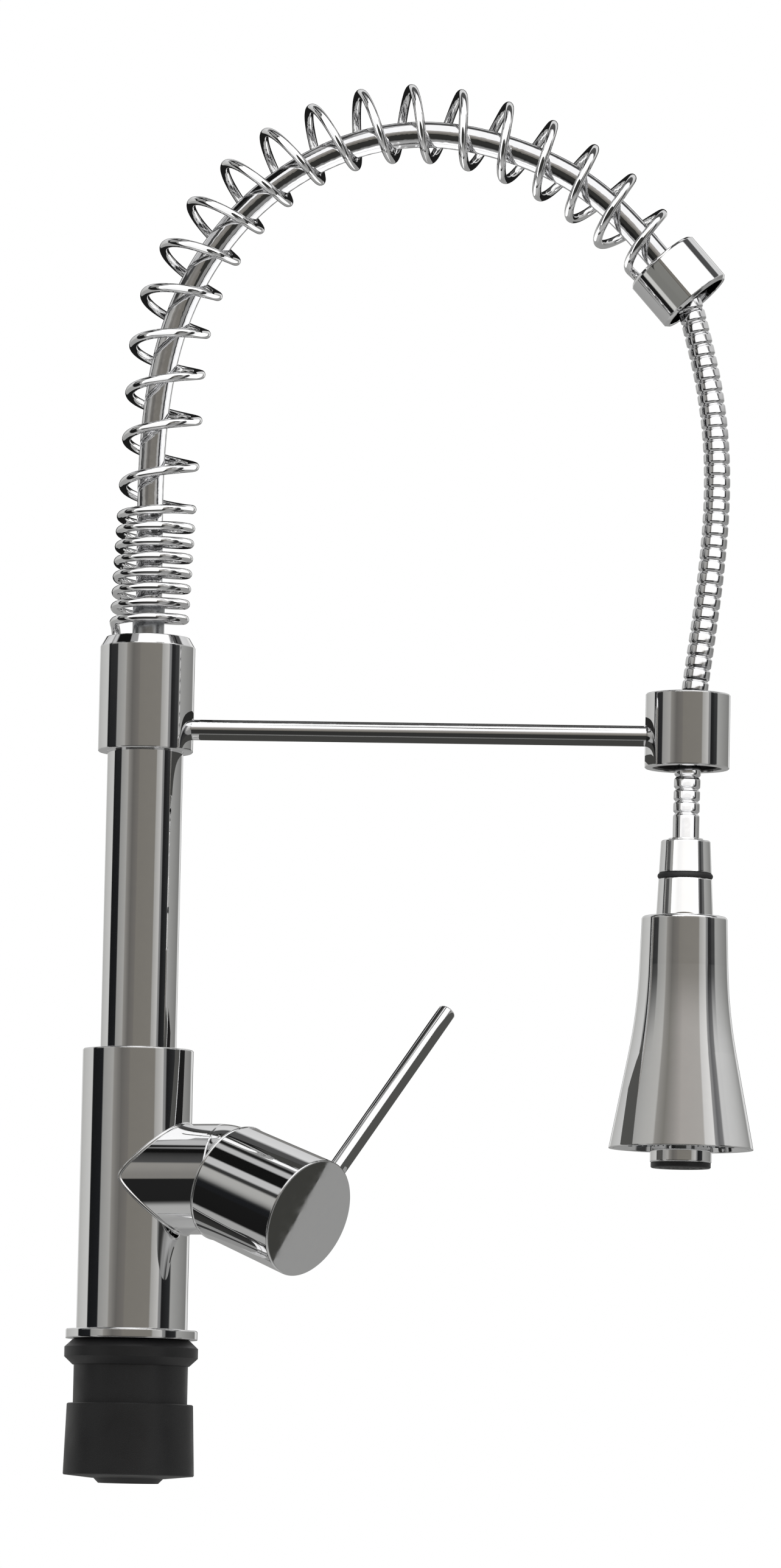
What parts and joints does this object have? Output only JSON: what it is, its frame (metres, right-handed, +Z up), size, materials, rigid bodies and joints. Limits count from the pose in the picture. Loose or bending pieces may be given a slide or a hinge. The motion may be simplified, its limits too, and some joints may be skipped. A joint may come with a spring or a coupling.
{
  "type": "pull-out kitchen faucet",
  "caption": "Kitchen faucet with a tee body, side lever, tall riser, open spring arch over a hose, docking arm, and a bell-shaped pull-out spray on a ribbed hose.",
  "frame": {"origin": "centre of the base ring's underside, on the sink deck", "axes": "+Z up along the column; +X along the docking arm towards the spray; +Y away from the viewer; the lever branch points 18 degrees from +X towards -Y"},
  "size_m": [0.2962, 0.093, 0.6141],
  "materials": {
    "polished_chrome": "polished",
    "chrome_spring_wire": "polished",
    "raw_brass": "satin",
    "stainless_steel": "satin",
    "black_plastic": "matte",
    "white_acetal": "satin",
    "grey_plastic": "satin",
    "black_rubber": "matte",
    "nozzle_rubber": "matte",
    "ceramic": "polished",
    "arch_hose_skin": "satin",
    "ribbed_hose_skin": "satin"
  },
  "bodies": {
    "valve_body": {"base_ring": "polished_chrome", "deck_seal": "black_rubber", "threaded_shank": "black_plastic", "tee_body": "polished_chrome", "hot_inlet": "raw_brass", "cold_inlet": "raw_brass", "cartridge_base": "white_acetal", "cartridge_seals": "black_rubber", "fixed_disc": "ceramic", "cartridge_housing": "white_acetal", "cartridge_nut": "raw_brass", "bonnet_dome": "polished_chrome", "outlet_nipple": "raw_brass", "nipple_o_rings": "black_rubber", "thrust_washer": "white_acetal", "guide_bush": "white_acetal"},
    "clamp": {"clamp_washer": "black_plastic"},
    "nut": {"mounting_nut": "black_plastic"},
    "cartridge_turn": {"cartridge_rotor": "white_acetal", "stem_pin": "stainless_steel"},
    "lever": {"cartridge_stem": "raw_brass", "lever_hub": "polished_chrome", "lever_rod": "polished_chrome", "hub_grub_screw": "stainless_steel", "index_plug": "grey_plastic"},
    "disc": {"moving_disc": "ceramic", "disc_carrier": "white_acetal"},
    "spout": {"riser_tube": "polished_chrome", "swivel_clip": "stainless_steel", "spring_collar": "polished_chrome", "collar_lock_screw": "stainless_steel", "hose_connector": "raw_brass", "hose_crimp": "stainless_steel", "docking_arm": "polished_chrome", "spray_holder": "polished_chrome", "holder_liner": "black_plastic", "arch_spring": "chrome_spring_wire", "hose_arch": "arch_hose_skin", "spring_ferrule": "polished_chrome", "hose_coupling": "raw_brass", "hose_drop": "ribbed_hose_skin"},
    "hose_end": {"hose_end_fitting": "raw_brass"},
    "spray_head": {"spray_neck": "polished_chrome", "neck_o_ring": "black_rubber", "spray_bell": "polished_chrome", "spray_core": "white_acetal", "check_valve": "white_acetal", "spray_face": "grey_plastic", "spray_nozzles": "nozzle_rubber"},
    "knob": {"mode_knob": "polished_chrome", "aerator_insert": "black_plastic"}
  },
  "joints": [
    {"name": "clamp_slide", "type": "slide", "parent": "valve_body", "child": "clamp", "axis": [0, 0, -1], "range_m": [0, 0.03]},
    {"name": "nut_turn", "type": "hinge", "parent": "clamp", "child": "nut", "pos_m": [0, 0, -0.04], "axis": [0, 0, 1], "continuous": true},
    {"name": "lever_temperature", "type": "hinge", "parent": "valve_body", "child": "cartridge_turn", "pos_m": [0.03928, -0.01276, 0.0692], "axis": [0.9511, -0.309, 0], "range_deg": [-12, 88]},
    {"name": "lever_flow", "type": "hinge", "parent": "cartridge_turn", "child": "lever", "pos_m": [0.03928, -0.01276, 0.0692], "axis": [0.2435, 0.7494, -0.6157], "range_deg": [-26, 0]},
    {"name": "disc_slide", "type": "slide", "parent": "cartridge_turn", "child": "disc", "axis": [0.1902, 0.5855, 0.788], "range_m": [-0.0054, 0]},
    {"name": "spout_swivel", "type": "hinge", "parent": "valve_body", "child": "spout", "pos_m": [0, 0, 0.12], "axis": [0, 0, 1], "continuous": true},
    {"name": "spray_pull", "type": "slide", "parent": "spout", "child": "hose_end", "axis": [0, 0, 1], "range_m": [-0.1, 0.064], "stiffness_N_per_m": 70, "springref_m": 0.0532, "deforming": ["hose_drop"]},
    {"name": "spray_spin", "type": "hinge", "parent": "hose_end", "child": "spray_head", "pos_m": [0.236, 0, 0.2], "axis": [0, 0, 1], "continuous": true},
    {"name": "mode_knob_push", "type": "slide", "parent": "spray_head", "child": "knob", "axis": [0, 0, 1], "range_m": [0, 0.004]}
  ],
  "couplings": [
    {"joint": "disc_slide", "follows": "lever_flow", "m_per_rad": 0.011882}
  ]
}
